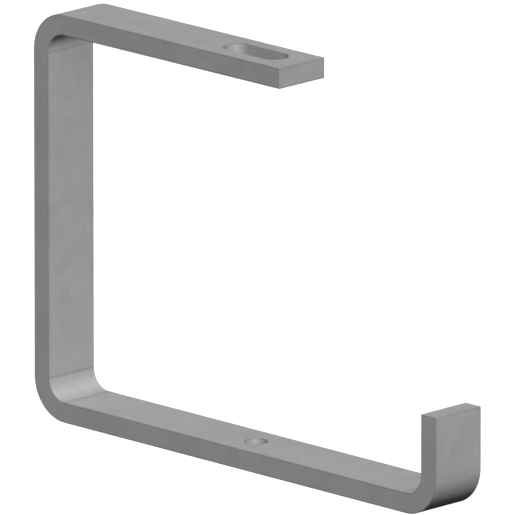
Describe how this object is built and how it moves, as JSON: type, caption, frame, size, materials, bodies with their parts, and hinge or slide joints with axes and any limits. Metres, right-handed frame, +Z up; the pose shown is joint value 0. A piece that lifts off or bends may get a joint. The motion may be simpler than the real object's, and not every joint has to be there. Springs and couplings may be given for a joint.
{
  "type": "cable hanger bracket",
  "caption": "Open C-shaped cable hanger bent from flat steel bar: a slotted upper leg hangs on a threaded rod, and the lipped lower arm with a bolt hole carries cables or a trough.",
  "frame": {"origin": "middle of the bracket's length and width, on the underside of the lower arm; the Z axis passes through the arm's hole and the leg's slot", "axes": "+X along the arms from the web to the lip, +Y across the bar's width, +Z up from the lower arm to the slotted leg"},
  "size_m": [0.268, 0.03, 0.2],
  "materials": {
    "zinc_grey_steel": "dull neutral-grey zinc coat on steel, matte"
  },
  "bodies": {
    "root": {"hanger_bracket": "zinc_grey_steel"}
  },
  "joints": []
}
